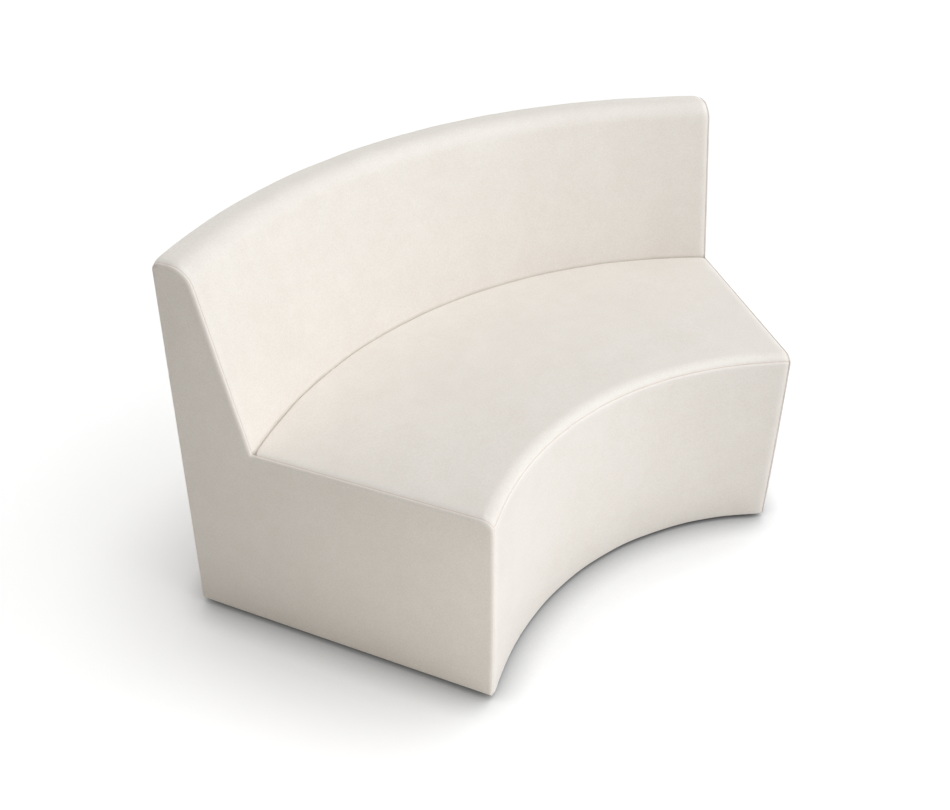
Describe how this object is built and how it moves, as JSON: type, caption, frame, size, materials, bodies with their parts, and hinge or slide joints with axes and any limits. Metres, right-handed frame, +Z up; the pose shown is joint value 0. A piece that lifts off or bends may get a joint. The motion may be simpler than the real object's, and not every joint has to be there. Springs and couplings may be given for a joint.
{
  "type": "banquette bench",
  "caption": "Inside-curve upholstered banquette bench with a tapered back, upholstered to the floor on low levelling glides.",
  "frame": {"origin": "on the floor, under the middle of the bench's overall box", "axes": "+X to the sitter's left end as seen from the front (the bench's right end seen from the front), +Y towards the back, +Z up"},
  "size_m": [1.4562, 0.8371, 0.822],
  "materials": {
    "cover_leatherette": "ivory leatherette with a fine soft mottle, matt sheen, flat stitched seams",
    "foam": "cream open-cell upholstery foam",
    "wadding": "white polyester wadding",
    "plywood": "birch plywood, sawn edges",
    "bending_plywood": "bending plywood, unfinished",
    "timber": "softwood blocks, unfinished",
    "dust_cloth": "black non-woven dust cloth",
    "steel": "zinc-plated steel",
    "glide_plastic": "black moulded nylon"
  },
  "bodies": {
    "bench": {"bottom_board": "plywood", "rib_end_left": "plywood", "rib_inner_left": "plywood", "rib_centre": "plywood", "rib_inner_right": "plywood", "rib_end_right": "plywood", "seat_deck": "plywood", "front_former": "plywood", "back_mid_formers": "plywood", "back_top_former": "plywood", "front_skin": "bending_plywood", "inside_back_skin": "bending_plywood", "outside_back_skin": "bending_plywood", "corner_blocks": "timber", "deck_screws": "steel", "tee_nuts": "steel", "seat_foam": "foam", "back_foam": "foam", "front_foam": "foam", "end_foam_left": "foam", "end_foam_right": "foam", "outside_back_wadding": "wadding", "seat_cover": "cover_leatherette", "inside_back_cover": "cover_leatherette", "front_cover": "cover_leatherette", "outside_back_cover": "cover_leatherette", "end_cover_left": "cover_leatherette", "end_cover_right": "cover_leatherette", "dust_cover": "dust_cloth"},
    "glide_front_left": {"glide_front_left": "glide_plastic"},
    "glide_rear_left": {"glide_rear_left": "glide_plastic"},
    "glide_front_centre": {"glide_front_centre": "glide_plastic"},
    "glide_rear_centre": {"glide_rear_centre": "glide_plastic"},
    "glide_front_right": {"glide_front_right": "glide_plastic"},
    "glide_rear_right": {"glide_rear_right": "glide_plastic"}
  },
  "joints": [
    {"name": "glide_front_left_travel", "type": "slide", "parent": "bench", "child": "glide_front_left", "axis": [0, 0, -1], "range_m": [0, 0.008]},
    {"name": "glide_rear_left_travel", "type": "slide", "parent": "bench", "child": "glide_rear_left", "axis": [0, 0, -1], "range_m": [0, 0.008]},
    {"name": "glide_front_centre_travel", "type": "slide", "parent": "bench", "child": "glide_front_centre", "axis": [0, 0, -1], "range_m": [0, 0.008]},
    {"name": "glide_rear_centre_travel", "type": "slide", "parent": "bench", "child": "glide_rear_centre", "axis": [0, 0, -1], "range_m": [0, 0.008]},
    {"name": "glide_front_right_travel", "type": "slide", "parent": "bench", "child": "glide_front_right", "axis": [0, 0, -1], "range_m": [0, 0.008]},
    {"name": "glide_rear_right_travel", "type": "slide", "parent": "bench", "child": "glide_rear_right", "axis": [0, 0, -1], "range_m": [0, 0.008]}
  ]
}
